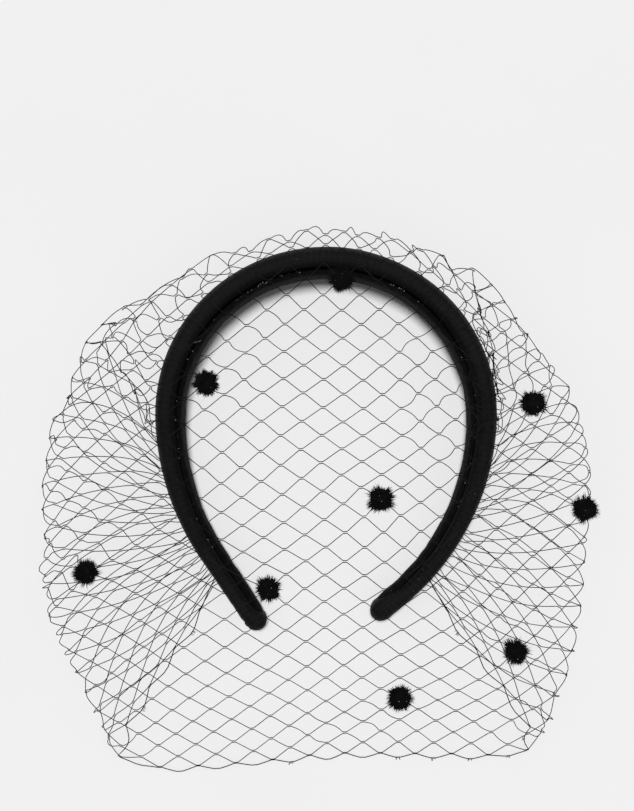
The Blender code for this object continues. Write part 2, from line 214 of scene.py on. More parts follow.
band = {
    "crownRadius": 64.3 * mm,
    "armLength": 100 * mm,
    "armBend": {"left": 106 * mm, "right": 99 * mm},
    "armSweep": {"left": math.radians(33), "right": math.radians(48)},
    "widthCrown": 30 * mm,
    "widthTip": 15 * mm,
    "padCrown": 10.6 * mm,
    "padTip": 7.4 * mm,
    "lining": 2.6 * mm,
    "liningInset": 1.8 * mm,
    "tipRounding": 6 * mm,
    "taperStart": 0.25,
    "gap": 0.3 * mm,
    "liningPlump": 0.9 * mm,     # how much of the pad's place the soft lining takes
    "liningEnd": 4.5 * mm,       # the lining stops this far before the tip
    "wrapStart": {"left": 11 * mm, "right": 24 * mm},   # the cover closes round the lining from here
    "lastRing": 0.08,            # share of a step left out at the tip
    "tipDent": 0.3,              # how much of a dent is left at the tip
}
sides = {"left": -1, "right": 1}
halfBand = band["crownRadius"] * math.pi / 2 + band["armLength"]
padLow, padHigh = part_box("padded_cover")
arcMiddle = Vector((
    (padLow[0] + padHigh[0]) / 2,
    padHigh[1] - band["crownRadius"] - band["gap"] / 2 - band["padCrown"],
    0,
))


def smooth(share):
    share = min(max(share, 0.0), 1.0)
    return share * share * (3 - 2 * share)


def coreLine(side, run):
    quarter = band["crownRadius"] * math.pi / 2
    turn = min(run, quarter) / band["crownRadius"]
    x = band["crownRadius"] * math.sin(turn)
    y = band["crownRadius"] * math.cos(turn)
    if run > quarter:
        bend = band["armBend"][side]
        swept = min((run - quarter) / bend, band["armSweep"][side])
        straight = run - quarter - bend * swept
        x -= bend * (1 - math.cos(swept)) + straight * math.sin(swept)
        y -= bend * math.sin(swept) + straight * math.cos(swept)
        turn += swept
    sign = sides[side]
    return Vector((sign * x, y, 0)), Vector((sign * math.sin(turn), math.cos(turn), 0))


def tapered(atCrown, atTip, run):
    share = smooth((run / halfBand - band["taperStart"]) / (1 - band["taperStart"]))
    return atCrown + (atTip - atCrown) * share


def bandWidth(run):
    return tapered(band["widthCrown"], band["widthTip"], run)


def padThickness(run):
    return tapered(band["padCrown"], band["padTip"], run)


def bandStations(spacing, tipRings, end, rounding):
    straight = end - rounding
    count = math.ceil(straight / spacing)
    runs = [straight * i / count for i in range(count + 1)]
    for ring in range(1, tipRings + 1):
        runs.append(straight + rounding * math.sin(math.pi / 2 * (ring - band["lastRing"]) / tipRings))
    return [("left", run) for run in reversed(runs[1:])] + [("right", run) for run in runs]


def tipShare(run, end, rounding):
    into = (run - (end - rounding)) / rounding
    return math.sqrt(max(1 - into * into, 0.0)) if into > 0 else 1.0


ridgeSteepness = 3.2


def waver(pattern, along, around, twist=0):
    # pattern gives the noise's steps a metre along the band, its steps round it, and a layer.
    perMetre, perTurn, layer = pattern
    return noise.noise(Vector((along * perMetre, around * perTurn + along * twist, layer)))


def ridge(*place):
    return 1 - min(abs(waver(*place)) * ridgeSteepness, 1.0)


def sweepBand(name, section, dent, finish, end, rounding):
    # section gives (inner, thickness, low, width, outer roundness, inner roundness) at (side, run),
    # and dent how far the cloth stands off it at (side, run, across, up).
    stations = bandStations(finish["spacing"], finish["tipRings"], end, rounding)
    pointsRound = finish["pointsRound"]
    body = bmesh.new()
    weave = body.loops.layers.uv.new("weave")
    loops = []
    for side, run in stations:
        point, outward = coreLine(side, run)
        inner, thickness, low, width, outerRound, innerRound = section(side, run)
        shrink = tipShare(run, end, rounding)
        loop = []
        for step in range(pointsRound):
            angle = 2 * math.pi * step / pointsRound
            c, s = math.cos(angle), math.sin(angle)
            power = outerRound if c > 0 else innerRound
            across = math.copysign(abs(c) ** power, c)
            up = math.copysign(abs(s) ** power, s)
            out = inner + thickness * (0.5 + 0.5 * across * shrink)
            height = low + width * (0.5 + 0.5 * up * shrink)
            off = dent(side, run, c, s) * (band["tipDent"] + (1 - band["tipDent"]) * shrink)
            place = point + outward * (out + off * c)
            loop.append(body.verts.new((place.x, place.y, max(height + off * s, 0.0))))
        loops.append(loop)
    along = [sides[side] * run for side, run in stations]
    for k, (loop, following) in enumerate(zip(loops, loops[1:])):
        for i in range(pointsRound):
            j = (i + 1) % pointsRound
            face = body.faces.new((loop[i], loop[j], following[j], following[i]))
            girth = 2 * (band["widthCrown"] + band["padCrown"]) / pointsRound
            spots = ((along[k], i), (along[k], i + 1), (along[k + 1], i + 1), (along[k + 1], i))
            for corner, (u, v) in zip(face.loops, spots):
                corner[weave].uv = (u, v * girth)
    body.faces.new(loops[0][::-1])
    body.faces.new(loops[-1])
    bmesh.ops.recalc_face_normals(body, faces=body.faces)
    bmesh.ops.translate(body, verts=body.verts, vec=arcMiddle)
    mesh = bpy.data.meshes.new(name)
    body.to_mesh(mesh)
    body.free()
    mesh.shade_smooth()
    return addObject(name, mesh)


# Padded cover: matte black crepe drawn round the foam, with creases across it and a puckered tip

cover = {
    "spacing": 1.1 * mm,
    "tipRings": 9,
    "pointsRound": 44,
    "outerRound": 0.85,
    "innerRound": 0.50,
    "swell": 0.10 * mm,
    "creaseDepth": 0.16 * mm,
    "creaseSharpness": 5,
    "girthStretch": 0.9,
    "swells": (42, 0.9, 3.1),
    "creases": (210, 0.8, 7.7),
    "patches": (26, 0.6, 12.0),
    "patchLevel": 0.45,          # more lets the creases into more of the cloth
    "puckers": (330, 1.6, 21.0),
    "puckerTwist": 120,
    "puckerSharpness": 2,
    "puckerDepth": {"left": 0.75 * mm, "right": 0.35 * mm},
    "puckerReach": 26 * mm,
    "black": (0.0034, 0.0034, 0.0036, 1),
    "worn": (0.0066, 0.0065, 0.0068, 1),
    "lint": (0.16, 0.16, 0.16, 1),
    "weavePerMetre": 2600,       # radians of the weave's waves
    "ribs": (1.0, 1.0),          # how close the waves lie, along and round
    "roughness": 0.66,
    "gloss": 0.11,
    "sheen": 0.03,
}


def coverSection(side, run):
    # At the tip the cover closes round the end of the lining.
    wrapStart = band["wrapStart"][side]
    wrap = smooth((run - halfBand + wrapStart) / (wrapStart - band["liningEnd"]))
    inner = (band["gap"] / 2 + band["liningPlump"]) * (1 - wrap) - band["lining"] * wrap
    thickness = padThickness(run) + band["gap"] / 2 - inner
    return inner, thickness, 0.0, bandWidth(run), cover["outerRound"], cover["innerRound"]


def coverDent(side, run, c, s):
    along = sides[side] * run
    girth = math.atan2(s, c) * cover["girthStretch"]
    soft = waver(cover["swells"], along, girth)
    crease = ridge(cover["creases"], along, girth) ** cover["creaseSharpness"]
    patch = smooth(waver(cover["patches"], along, girth) + cover["patchLevel"])
    pucker = smooth((run - (halfBand - cover["puckerReach"])) / cover["puckerReach"])
    folds = ridge(cover["puckers"], along, girth, cover["puckerTwist"]) ** cover["puckerSharpness"]
    return (
        cover["swell"] * soft
        - cover["creaseDepth"] * crease * patch
        - cover["puckerDepth"][side] * pucker * folds
    )


def clothMaterial(name, finish):
    # Woven cloth on the piece's own map, u along the band and v round it, both in metres.
    material, tree, shader = newMaterial(name, {
        "Specular IOR Level": finish["gloss"],
        "Sheen Weight": finish["sheen"],
        "Sheen Roughness": 0.42,
        "Sheen Tint": (0.55, 0.62, 0.80, 1),
    })
    # The wave texture turns 20 radians a unit, so this scale and the map's give weavePerMetre.
    waveScale = 0.5
    mapScale = finish["weavePerMetre"] / (20 * waveScale)
    place = surfacePlace(tree, "UV", (mapScale, mapScale, 1))
    threads = []
    for direction, rib in zip("XY", finish["ribs"]):
        thread = addNode(
            tree, "ShaderNodeTexWave",
            bands_direction=direction, Scale=waveScale * rib, Distortion=0.6, Detail=1.0,
        )
        tree.links.new(place, thread.inputs["Vector"])
        threads.append(thread.outputs["Fac"])
    grain = mathOf(tree, "MULTIPLY", *threads)
    onPiece = surfacePlace(tree, "Object", (1, 1, 1))
    rub = addNode(tree, "ShaderNodeTexNoise", Scale=160.0, Detail=6.0, Roughness=0.62)
    broad = addNode(tree, "ShaderNodeTexNoise", Scale=34.0, Detail=3.0)
    specks = addNode(tree, "ShaderNodeTexVoronoi", Scale=420.0)
    for texture in (rub, broad, specks):
        tree.links.new(onPiece, texture.inputs["Vector"])
    fine = mathOf(tree, "MULTIPLY", rub.outputs["Fac"], 0.55)
    shade = mathOf(tree, "MULTIPLY_ADD", broad.outputs["Fac"], 0.45, fine)
    base = colourSteps(tree, shade, [(0.38, finish["black"]), (0.66, finish["worn"])])
    # Painted shade and highlight: the weave's gaps between threads are darkened and the thread tops
    # lightened in the cloth's colour, as its relief would be lit.
    between, paintedHighlightOnTop = (0.72, 0.72, 0.72, 1), (1.25, 1.25, 1.25, 1)
    paintedWeaveShade = colourSteps(tree, grain, [(0.0, between), (0.55, paintedHighlightOnTop)])
    clothWithPaintedWeaveShade = mixColours(tree, 1.0, base, paintedWeaveShade, "MULTIPLY")
    speck = mathOf(tree, "LESS_THAN", specks.outputs["Distance"], 0.055)
    few = mathOf(tree, "GREATER_THAN", broad.outputs["Fac"], 0.60)
    linty = mixColours(tree, mathOf(tree, "MULTIPLY", speck, few), clothWithPaintedWeaveShade, finish["lint"])
    tree.links.new(linty, shader.inputs["Base Color"])
    rough = mathOf(tree, "MULTIPLY_ADD", shade, 0.18, finish["roughness"])
    tree.links.new(rough, shader.inputs["Roughness"])
    nap = addBump(tree, shader, grain, 0.55, 0.00016)
    addBump(tree, shader, rub.outputs["Fac"], 0.35, 0.0004, under=nap)
    return material


def makeCover():
    made = sweepBand("paddedCover", coverSection, coverDent, cover, halfBand, band["tipRounding"])
    made.data.materials.append(clothMaterial("blackCrepe", cover))
    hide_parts("padded_cover")
    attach(made, "root")
    print("padded cover made:", len(made.data.polygons), "faces")


makeCover()


# Lining: ribbon round the inside of the band, slightly slack, with slanting creases

liner = {
    "spacing": 1.1 * mm,
    "tipRings": 8,
    "pointsRound": 26,
    "outerRound": 0.60,
    "innerRound": 0.80,
    "foldDepth": 0.60 * mm,
    "folds": (95, 0.9, 31.0),
    "foldTwist": -55,
    "foldSharpness": 3,
    "foldShare": 0.8,
    "ripples": (60, 1, 5.0),
    "rippleShare": 0.35,
    "black": (0.0022, 0.0022, 0.0023, 1),
    "worn": (0.0048, 0.0046, 0.0047, 1),
    "lint": (0.16, 0.16, 0.16, 1),
    "weavePerMetre": 2100,
    "ribs": (0.6, 2.0),
    "roughness": 0.72,
    "gloss": 0.05,
    "sheen": 0.0,
}


def linerSection(side, run):
    width = bandWidth(run) - 2 * band["liningInset"]
    inner = -band["gap"] / 2 - band["lining"]
    thickness = band["lining"] + band["liningPlump"]
    return inner, thickness, band["liningInset"], width, liner["outerRound"], liner["innerRound"]


def linerDent(side, run, c, s):
    along = sides[side] * run
    slant = ridge(liner["folds"], along, s, liner["foldTwist"]) ** liner["foldSharpness"]
    ripple = waver(liner["ripples"], along, s)
    inward = 0.5 - 0.5 * c
    return liner["foldDepth"] * (liner["rippleShare"] * ripple - slant * inward * liner["foldShare"])


def makeLining():
    end = halfBand - band["liningEnd"]
    made = sweepBand("liningStrip", linerSection, linerDent, liner, end, band["tipRounding"])
    made.data.materials.append(clothMaterial("ribbonLining", liner))
    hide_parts("lining_strip")
    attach(made, "root")
    print("lining made:", len(made.data.polygons), "faces")


makeLining()


# Veil surface: the same folds as the solids. across runs from -1 to 1 and down from 0 at the seam to 1.

veil = {
    "overhang": 7.3 * mm,
    "fall": 234 * mm,
    "lift": 38 * mm,
    "reach": {"left": 127 * mm, "right": 120 * mm},
    "topEdge": {"left": 107.5 * mm, "right": 97.5 * mm},
    "gather": {"left": 66 * mm, "right": 78 * mm},
    "seamShare": 0.30,
    "seamLift": 0.45 * mm + 0.6 * mm,   # the clearance, and half a bar of the solids
    "seamSteps": 40,
    "shoulderMargin": 2 * mm,
    "shoulderDrop": 0.036,       # the shoulder's share of the net's drop
    "frontSteps": 32,
    "flatness": 0.35,            # 1 is a straight fall from the middle to a fold, 0 a flat top
    "leastFacing": 0.5,          # how far a course may slant over the padding, as a cosine
    "turnDownSpan": 0.10,
    "turnUpSpan": 0.35,
    "turnUpShares": (0.55, 0.45),   # of the shoulder's height and of the height under the fold
    "behindSteps": 20,
    "floorLift": 0.9 * mm,
    "ruffleHeight": 2.2 * mm,
    "ruffles": 4.5,
    "seamCrowding": {"left": 1.22, "right": 1.35},   # 1 spreads the top edge evenly, more crowds its ends
    "edgeCrowding": 1.1,         # the same behind the folds, towards the short ends
    "gathers": {"left": 5, "right": 6},             # places on each arm where a short end is caught
    "gatherHold": 0.80,
}
courseColumns = (
    "drop", "level", "height", "foldHeight", "underHeight",
    "leftReach", "leftLevel", "leftCorner", "leftBow", "leftFront",
    "rightReach", "rightLevel", "rightCorner", "rightBow", "rightFront",
)
courses = (
    (0.07, 0.000, 0.80, 0.55, 0.50, 0.765, 0.179, 1.25, 0.000, 0.68, 0.528, 0.114, 1.6, 0.000, 0.55),
    (0.13, 0.070, 0.95, 0.38, 0.30, 0.815, 0.228, 1.6, 0.000, 0.69, 0.633, 0.146, 1.8, 0.000, 0.57),
    (0.20, 0.151, 1.00, 0.30, 0.16, 0.867, 0.287, 1.8, 0.000, 0.72, 0.728, 0.203, 1.9, 0.000, 0.63),
    (0.35, 0.321, 0.97, 0.27, 0.08, 0.970, 0.416, 2.0, 0.000, 0.755, 0.900, 0.322, 2.0, 0.000, 0.715),
    (0.50, 0.486, 0.93, 0.27, 0.06, 1.003, 0.554, 2.0, 0.000, 0.755, 0.990, 0.467, 2.0, 0.000, 0.745),
    (0.65, 0.645, 0.84, 0.25, 0.06, 0.980, 0.691, 2.0, 0.000, 0.71, 0.966, 0.613, 2.0, 0.000, 0.715),
    (0.80, 0.799, 0.58, 0.22, 0.05, 0.912, 0.820, 2.0, 0.010, 0.655, 0.942, 0.759, 2.0, 0.006, 0.665),
    (0.90, 0.895, 0.28, 0.16, 0.04, 0.840, 0.907, 2.0, 0.020, 0.62, 0.885, 0.868, 2.0, 0.010, 0.63),
    (1.00, 0.980, 0.024, 0.07, 0.024, 0.742, 0.984, 2.0, 0.030, 0.57, 0.800, 0.986, 2.2, 0.006, 0.59),
)


def seamPoint(side, run):
    point, outward = coreLine(side, run)
    height = bandWidth(run) + veil["seamLift"]
    return point + outward * padThickness(run) * veil["seamShare"] + Vector((0, 0, height))


def bezier(a, b, c, d, count):
    for i in range(1, count + 1):
        t = i / count
        s = 1 - t
        yield a * s ** 3 + b * 3 * s * s * t + c * 3 * s * t * t + d * t ** 3


def courseLine(course, side):
    row = dict(zip(courseColumns, course))
    top = band["crownRadius"] + band["padCrown"] + veil["overhang"]
    reach = veil["reach"][side] * row[side + "Reach"]
    foldY = top - veil["fall"] * row[side + "Level"]
    rise = top - veil["fall"] * row["level"] - foldY
    foldZ = max(veil["lift"] * row["foldHeight"], veil["floorLift"])
    middleZ = max(veil["lift"] * row["height"], veil["floorLift"])
    underZ = max(veil["lift"] * row["underHeight"], veil["floorLift"])
    line = []
    steps = veil["frontSteps"]
    for i in range(steps + 1):
        angle = math.pi / 2 * (1 - i / steps)
        across = math.cos(angle) ** (2 / row[side + "Corner"])
        up = math.sin(angle) ** (2 / row[side + "Corner"])
        bow = veil["fall"] * row[side + "Bow"] * math.sin(2 * angle)
        height = foldZ + (middleZ - foldZ) * (1 - across * across) ** veil["flatness"]
        line.append(Vector((sides[side] * reach * across, foldY + rise * up - bow, height)))
    run = veil["topEdge"][side] + veil["gather"][side] * row["drop"]
    seam = seamPoint(side, run)
    fold = line[-1]
    heading = ((fold - seam) * Vector((1, 1, 0))).normalized()
    outward = coreLine(side, run)[1]
    past = padThickness(run) * (1 - veil["seamShare"]) + veil["shoulderMargin"]
    shoulder = seam + heading * past / max(heading.dot(outward), veil["leastFacing"])
    span = (fold - shoulder) * Vector((1, 1, 0))
    turnDown = Vector((fold.x, fold.y, underZ)) - span * veil["turnDownSpan"]
    turnUp = shoulder + span * veil["turnUpSpan"]
    highShare, lowShare = veil["turnUpShares"]
    turnUp.z = shoulder.z * highShare + underZ * lowShare
    turnUp.z += veil["ruffleHeight"] * math.sin(2 * math.pi * veil["ruffles"] * row["drop"])
    turnUp.z = max(turnUp.z, veil["floorLift"])
    line += list(bezier(fold, turnDown, turnUp, shoulder, veil["behindSteps"])) + [seam]
    return measured(line, steps, row[side + "Front"])


def measured(line, foldAt=None, front=None):
    # front is the share of the net's meshes that lie before the fold.
    reached = [0.0]
    for a, b in zip(line, line[1:]):
        reached.append(reached[-1] + (b - a).length)
    return line, reached, reached[foldAt] if foldAt else None, front


def topEdgeRuns(side):
    steps = veil["seamSteps"]
    return [veil["topEdge"][side] * i / steps for i in range(steps + 1)]


def seamLine(side):
    return measured([seamPoint(side, run) for run in topEdgeRuns(side)])


def shoulderLine(side):
    line = []
    for run in topEdgeRuns(side):
        past = padThickness(run) * (1 - veil["seamShare"]) + veil["shoulderMargin"]
        line.append(seamPoint(side, run) + coreLine(side, run)[1] * past)
    line.append(seamPoint(side, veil["topEdge"][side] + veil["gather"][side] * veil["shoulderDrop"]))
    return measured(line)


def alongLine(line, side, share):
    points, reached, foldReached, front = line
    if front is None:
        wanted = reached[-1] * (1 - (1 - share) ** veil["seamCrowding"][side])
    elif share < front:
        wanted = foldReached * share / front
    else:
        behind = 1 - ((1 - share) / (1 - front)) ** veil["edgeCrowding"]
        wanted = foldReached + (reached[-1] - foldReached) * behind
    i = min(bisect.bisect_right(reached, wanted), len(points) - 1)
    return points[i - 1].lerp(points[i], (wanted - reached[i - 1]) / (reached[i] - reached[i - 1]))


veilKnots = [0.0, veil["shoulderDrop"]] + [course[0] for course in courses]
veilLines = {
    side: [seamLine(side), shoulderLine(side)] + [courseLine(course, side) for course in courses]
    for side in sides
}


def gatherPoint(side, down):
    # The short ends are caught in bunches, a few stitches apart.
    bunches = veil["gathers"][side]
    bunch = (min(int(down * bunches), bunches - 1) + 0.5) / bunches
    caught = down + (bunch - down) * veil["gatherHold"]
    return seamPoint(side, veil["topEdge"][side] + veil["gather"][side] * caught)


def veilPoint(across, down):
    side = "right" if across > 0 else "left"
    if abs(across) == 1.0:
        return gatherPoint(side, down)
    points = [alongLine(line, side, abs(across)) for line in veilLines[side]]
    last = len(veilKnots) - 1
    i = 0
    while i < last - 1 and down > veilKnots[i + 1]:
        i += 1
    span = veilKnots[i + 1] - veilKnots[i]
    t = (down - veilKnots[i]) / span

    def slope(k):
        before, after = max(k - 1, 0), min(k + 1, last)
        return (points[after] - points[before]) / (veilKnots[after] - veilKnots[before])

    curve = points[i].lerp(points[i + 1], t * t * (3 - 2 * t))
    curve += slope(i) * span * (t * (1 - t) ** 2) - slope(i + 1) * span * (t * t * (1 - t))
    curve.z = max(curve.z, veil["floorLift"])
    return curve


# Net: zigzag threads that touch at each junction. As it lies, its middle row measures 368 mm round
# both folds, and its middle column 250 mm.
# The table under it stays as even as in the photograph, so the veil casts no shadow.

net = {
    "meshesAcross": 21,
    "rowsDown": 21,
    "edge": 10.05 * mm,          # thread from one junction to the next
    "thread": 0.185 * mm,        # radius
    "junctionHalf": 0.75 * mm,
    "junctionGap": 0.40 * mm,    # from the middle of a junction to each of its two threads
    "corner": 0.35 * mm,
    "round": 0.35,
    "bends": (0.12, 0.3, 0.5, 0.7, 0.88),   # where a thread may bend between two junctions
    "straight": 0.12 * mm,       # a bend smaller than this is left out
    "folded": 0.8 * mm,          # a slack thread that bends more than this bows out of the fold
    "taut": 0.95,                # a thread bows only when it spans less than this share of its length
    "leastShare": 0.6,           # least rest length, as a share of the edge
    "easeSteps": 220,
    "overshoot": 1.6,
    "stretchHold": 0.85,
    "crowdHold": 0.42,
    "anchor": 0.030,
    "crowdFrees": 0.7,           # how much of the anchor a crowded junction loses
    "crowdRise": 3,
    "mostMove": 7.0 * mm,
    "buckle": 1.1 * mm,
    "drift": 2.2 * mm,           # how far the net strays from an even spread
    "driftPerMetre": 21,
    "driftShift": (9.1, 3.7, 5.2),
    "driftBehind": 20 * mm,      # parts the drift behind the folds from the front
    "behindFrom": 0.75,
    "driftEase": (6, 5, 8),      # how soon it sets in below the seam, off the ends and above the hem
    "clearance": 0.45 * mm,
    "topClearance": 0.6,         # share of it that is kept over the band
    "bandReach": 4 * mm,
    "bandSpacing": 2 * mm,
    "bandTipRings": 3,
    "nothing": 0.1 * mm,         # shorter lengths have no direction
    "seed": 11,
    "dotPull": 22 * mm,
    "dotMargin": 2,              # no dot is tied this near an edge
    "stillRows": 4,              # rows over which the dots' pull fades
    "openAcross": 0.87,          # a spread mesh's width and drop, as shares of two edges
    "openDown": 0.55,
    "colour": (0.0030, 0.0024, 0.0024, 1),
    "colourWorn": (0.0080, 0.0062, 0.0062, 1),
}
dotCentres = []
for number in range(1, 10):
    low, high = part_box(f"chenille_dot_{number}")
    dotCentres.append((Vector(low) + Vector(high)) / 2)
lastColumn = 2 * net["meshesAcross"]
lastRow = 2 * net["rowsDown"]


def netPlace(column, row):
    return column / net["meshesAcross"] - 1, row / lastRow


def flatApart(a, b):
    width = lastColumn * net["edge"] * net["openAcross"]
    drop = lastRow * net["edge"] * net["openDown"]
    (acrossA, downA), (acrossB, downB) = netPlace(*a), netPlace(*b)
    return math.hypot((acrossA - acrossB) * width / 2, (downA - downB) * drop)


def strayed(across, down):
    point = veilPoint(across, down)
    layer = math.copysign(net["driftBehind"], across) * (abs(across) > net["behindFrom"])
    apart = Vector((point.x, point.y, layer)) * net["driftPerMetre"]
    seamEase, endEase, hemEase = net["driftEase"]
    loose = min(down * seamEase, 1) * min((1 - abs(across)) * endEase, 1) * min((1 - down) * hemEase, 1)
    drift = Vector((noise.noise(apart), noise.noise(apart + Vector(net["driftShift"])), 0))
    return point + drift * 2 * net["drift"] * loose


def tieDots(start, junctions):
    # Draws the net so that its nearest junction lies in the middle of each dot.
    def inside(step, last):
        return net["dotMargin"] < step < last - net["dotMargin"]

    inner = [j for j in junctions if inside(j[0], lastColumn) and inside(j[1], lastRow)]
    tied = [min(inner, key=lambda j: (start[j] - centre).length) for centre in dotCentres]
    moves = [centre - start[junction] for centre, junction in zip(dotCentres, tied)]
    still = net["stillRows"]
    for junction in junctions:
        edge = min(junction[0], lastColumn - junction[0], junction[1], still) / still
        for tie, move in zip(tied, moves):
            weight = math.exp(-((flatApart(junction, tie) / net["dotPull"]) ** 2))
            start[junction] = start[junction] + move * weight * edge
    for tie, centre in zip(tied, dotCentres):
        start[tie] = centre
    return tied


def bandSamples():
    rows = []
    rounding = band["tipRounding"]
    for side, run in bandStations(net["bandSpacing"], net["bandTipRings"], halfBand, rounding):
        point, outward = coreLine(side, run)
        thickness = padThickness(run) * tipShare(run, halfBand, rounding)
        rows.append((*(point + arcMiddle)[:2], *outward[:2], thickness, bandWidth(run)))
    return np.array(rows)


bandRows = bandSamples()


def keepClear(points):
    # Lifts points off the table, and moves those inside the band out by its nearest side.
    gap = net["clearance"]
    points[:, 2] = np.maximum(points[:, 2], gap)
    apart = points[:, None, :2] - bandRows[None, :, :2]
    nearest = (apart ** 2).sum(axis=2).argmin(axis=1)
    rows = bandRows[nearest]
    flat = points[:, :2] - rows[:, :2]
    out = (flat * rows[:, 2:4]).sum(axis=1)
    aside = np.sqrt(np.maximum((flat ** 2).sum(axis=1) - out ** 2, 0))
    toOuter = rows[:, 4] + gap - out
    toInner = out + band["lining"] + gap
    toTop = rows[:, 5] + gap * net["topClearance"] - points[:, 2]
    inside = (toOuter > 0) & (toInner > 0) & (toTop > 0) & (aside < net["bandReach"])
    up = inside & (toTop <= toOuter) & (toTop <= toInner)
    outer = inside & ~up & (toOuter <= toInner)
    inner = inside & ~up & ~outer
    points[up, 2] += toTop[up]
    points[outer, :2] += rows[outer, 2:4] * toOuter[outer, None]
    points[inner, :2] -= rows[inner, 2:4] * toInner[inner, None]


def surfaceBends(a, b):
    # How far the veil's surface lies off the straight line between two junctions, and the share of
    # a thread's length that the straight line takes up.
    placeA, placeB = netPlace(*a), netPlace(*b)
    pointA, pointB = veilPoint(*placeA), veilPoint(*placeB)
    line = [pointA]
    bends = []
    for t in net["bends"]:
        across, down = (p + (q - p) * t for p, q in zip(placeA, placeB))
        line.append(veilPoint(across, down))
        bends.append(line[-1] - pointA.lerp(pointB, t))
    line.append(pointB)
    length = sum((q - p).length for p, q in zip(line, line[1:]))
    return bends, (pointB - pointA).length / max(length, net["nothing"])


def easeNet(start, links, rest, held, chance):
    # Settles the junctions towards the lengths that the threads are knotted at. Some stay stretched.
    a, b = links[:, 0], links[:, 1]
    count = np.zeros(len(start))
    np.add.at(count, a, 1)
    np.add.at(count, b, 1)
    span = np.linalg.norm(start[b] - start[a], axis=1)
    crowd = np.zeros(len(start))
    np.add.at(crowd, a, np.clip(1 - span / rest, 0, 1))
    np.add.at(crowd, b, np.clip(1 - span / rest, 0, 1))
    crowd /= count
    moved = start + chance.normal(size=start.shape) * (crowd * net["buckle"])[:, None]
    for step in range(net["easeSteps"]):
        gap = moved[b] - moved[a]
        length = np.linalg.norm(gap, axis=1) + 1e-9
        error = length - rest
        hold = np.where(error > 0, net["stretchHold"], net["crowdHold"])
        pull = gap * (error * hold / length / 2)[:, None]
        total = np.zeros_like(moved)
        np.add.at(total, a, pull)
        np.add.at(total, b, -pull)
        moved += total / count[:, None] * net["overshoot"]
        freed = net["crowdFrees"] * np.clip(crowd * net["crowdRise"], 0, 1)
        moved += (start - moved) * (net["anchor"] * (1 - freed))[:, None]
        off = moved - start
        far = np.linalg.norm(off, axis=1)
        moved = start + off * np.minimum(1, net["mostMove"] / (far + 1e-9))[:, None]
        keepClear(moved)
        moved[held] = start[held]
    return moved


def settleNet():
    chance = np.random.default_rng(net["seed"])
    junctions = [(i, j) for i in range(lastColumn + 1) for j in range(lastRow + 1) if (i + j) % 2 == 0]
    index = {junction: n for n, junction in enumerate(junctions)}
    places = {junction: strayed(*netPlace(*junction)) + arcMiddle for junction in junctions}
    dotAt = tieDots(places, junctions)
    start = np.array([places[junction] for junction in junctions])
    bendsOf = {}
    links, rest = [], []
    for i, j in junctions:
        for other in ((i + 1, j + 1), (i + 1, j - 1)):
            if other in index:
                bendsOf[(i, j), other], share = surfaceBends((i, j), other)
                links.append((index[(i, j)], index[other]))
                rest.append(net["edge"] * max(share, net["leastShare"]))
    held = [n for n, (i, j) in enumerate(junctions) if j == 0 or i in (0, lastColumn)]
    held += [index[junction] for junction in dotAt]
    settled = easeNet(start, np.array(links), np.array(rest), held, chance)
    return {junction: Vector(settled[n]) for junction, n in index.items()}, dotAt, bendsOf


junctionAt, dotAt, bendsOf = settleNet()
print("net settled:", len(junctionAt), "junctions")


def junctionFrame(i, j):
    # Directions along and across the threads at a junction, in the net.
    def mean(places):
        found = [junctionAt[place] for place in places if place in junctionAt]
        return sum(found, Vector()) / len(found) if found else junctionAt[(i, j)]

    along = mean([(i + 1, j - 1), (i + 1, j + 1)]) - mean([(i - 1, j - 1), (i - 1, j + 1)])
    along = along.normalized() if along.length > net["nothing"] else Vector((1, 0, 0))
    down = mean([(i - 1, j + 1), (i + 1, j + 1)]) - mean([(i - 1, j - 1), (i + 1, j - 1)])
    down -= along * down.dot(along)
    down = down.normalized() if down.length > net["nothing"] else Vector((0, -1, 0))
    return along, down


frameAt = {place: junctionFrame(*place) for place in junctionAt}


def threadEdge(a, alongA, b, alongB, bends, chance):
    # Points between two junctions: the thread turns out of each, then follows the folds of the
    # veil, and bows if it is slack.
    span = b - a
    length = span.length
    straight = span.normalized()
    corner = min(net["corner"], length / 4)
    turn = net["round"]
    first = a + (alongA * turn + straight * (1 - turn)) * corner
    last = b - (alongB * turn + straight * (1 - turn)) * corner
    free = (net["edge"] - 2 * net["junctionHalf"]) * net["taut"]
    most = max(bend.length for bend in bends)
    slack = 2 / math.pi * math.sqrt(max(length * (free - length), 0.0))
    slack = math.sqrt(max(slack * slack - most * most, 0.0))
    if most < net["straight"] and slack < net["straight"]:
        return [first, last]
    aside = straight.orthogonal().normalized()
    aside.rotate(Matrix.Rotation(chance.uniform(0, 2 * math.pi), 3, straight))
    if most > net["folded"]:
        aside = max(bends, key=lambda bend: bend.length).normalized()
    line = [first]
    for t, bend in zip(net["bends"], bends):
        line.append(first.lerp(last, t) + bend + aside * slack * math.sin(math.pi * t))
    return line + [last]


def zigzag(row, chance):
    points = []
    before = None
    for i in range(lastColumn + 1):
        level = row if (i + row) % 2 == 0 else row + 1
        middle = junctionAt[(i, level)]
        along, down = frameAt[(i, level)]
        offset = down * net["junctionGap"] * (1 if level == row else -1)
        arrive = middle + offset - along * net["junctionHalf"] * (i > 0)
        leave = middle + offset + along * net["junctionHalf"] * (i < lastColumn)
        if before:
            junction, alongBefore = before
            bends = bendsOf[junction, (i, level)]
            points += threadEdge(points[-1], alongBefore, arrive, along, bends, chance)
        points += [arrive, leave] if arrive != leave else [arrive]
        before = (i, level), along
    return points


